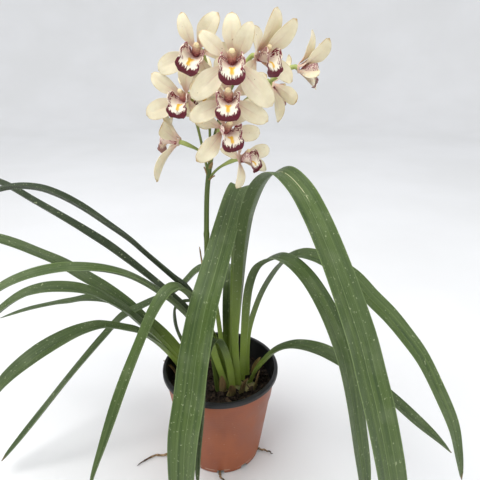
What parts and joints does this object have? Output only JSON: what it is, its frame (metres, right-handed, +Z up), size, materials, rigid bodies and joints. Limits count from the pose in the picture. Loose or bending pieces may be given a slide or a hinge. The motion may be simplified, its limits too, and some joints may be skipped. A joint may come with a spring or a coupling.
{
  "type": "potted orchid",
  "caption": "Flowering boat orchid in a round plastic nursery pot: an upright flower spike over long arching strap leaves, for a sill, table or shelf.",
  "frame": {"origin": "centre of the pot's underside, on the surface it stands on", "axes": "+Z up along the pot's axis; the flowers face -Y; +X is to the right of someone looking at the flowers"},
  "size_m": [0.6386, 0.35, 0.5545],
  "materials": {
    "terracotta_plastic": "matt terracotta outside, black inside and on the rolled rim",
    "potting_mix": "damp dark fine bark",
    "bulb_green": "satin, waxy",
    "leaf_green": "satin, leathery, with fine lengthwise veins",
    "stem_green": "satin",
    "dry_sheath": "dry, papery",
    "root_tan": "dry, matt",
    "petal_cream": "waxy, slightly translucent",
    "lip_burgundy": "velvety, burgundy on cream",
    "column_rose": "waxy"
  },
  "bodies": {
    "root": {"pot": "terracotta_plastic", "potting_mix": "potting_mix", "pseudobulb_centre": "bulb_green", "pseudobulb_left": "bulb_green", "leaf_01": "leaf_green", "leaf_02": "leaf_green", "leaf_03": "leaf_green", "leaf_04": "leaf_green", "leaf_05": "leaf_green", "leaf_06": "leaf_green", "leaf_07": "leaf_green", "leaf_08": "leaf_green", "leaf_09": "leaf_green", "leaf_10": "leaf_green", "leaf_11": "leaf_green", "leaf_12": "leaf_green", "leaf_13": "leaf_green", "leaf_14": "leaf_green", "leaf_15": "leaf_green", "leaf_16": "leaf_green", "leaf_17": "leaf_green", "flower_stem": "stem_green", "stem_sheath_lower": "dry_sheath", "stem_sheath_upper": "dry_sheath", "flower_a_tepals": "petal_cream", "flower_a_lip": "lip_burgundy", "flower_a_column": "column_rose", "flower_b_tepals": "petal_cream", "flower_b_lip": "lip_burgundy", "flower_b_column": "column_rose", "flower_c_tepals": "petal_cream", "flower_c_lip": "lip_burgundy", "flower_c_column": "column_rose", "flower_d_tepals": "petal_cream", "flower_d_lip": "lip_burgundy", "flower_d_column": "column_rose", "flower_e_tepals": "petal_cream", "flower_e_lip": "lip_burgundy", "flower_e_column": "column_rose", "flower_f_tepals": "petal_cream", "flower_f_lip": "lip_burgundy", "flower_f_column": "column_rose", "flower_g_tepals": "petal_cream", "flower_g_lip": "lip_burgundy", "flower_g_column": "column_rose", "flower_h_tepals": "petal_cream", "flower_h_lip": "lip_burgundy", "flower_h_column": "column_rose", "flower_i_tepals": "petal_cream", "flower_i_lip": "lip_burgundy", "flower_i_column": "column_rose", "flower_j_tepals": "petal_cream", "flower_j_lip": "lip_burgundy", "flower_j_column": "column_rose", "flower_k_tepals": "petal_cream", "flower_k_lip": "lip_burgundy", "flower_k_column": "column_rose", "root_left": "root_tan", "root_right": "root_tan", "root_front": "root_tan"}
  },
  "joints": []
}
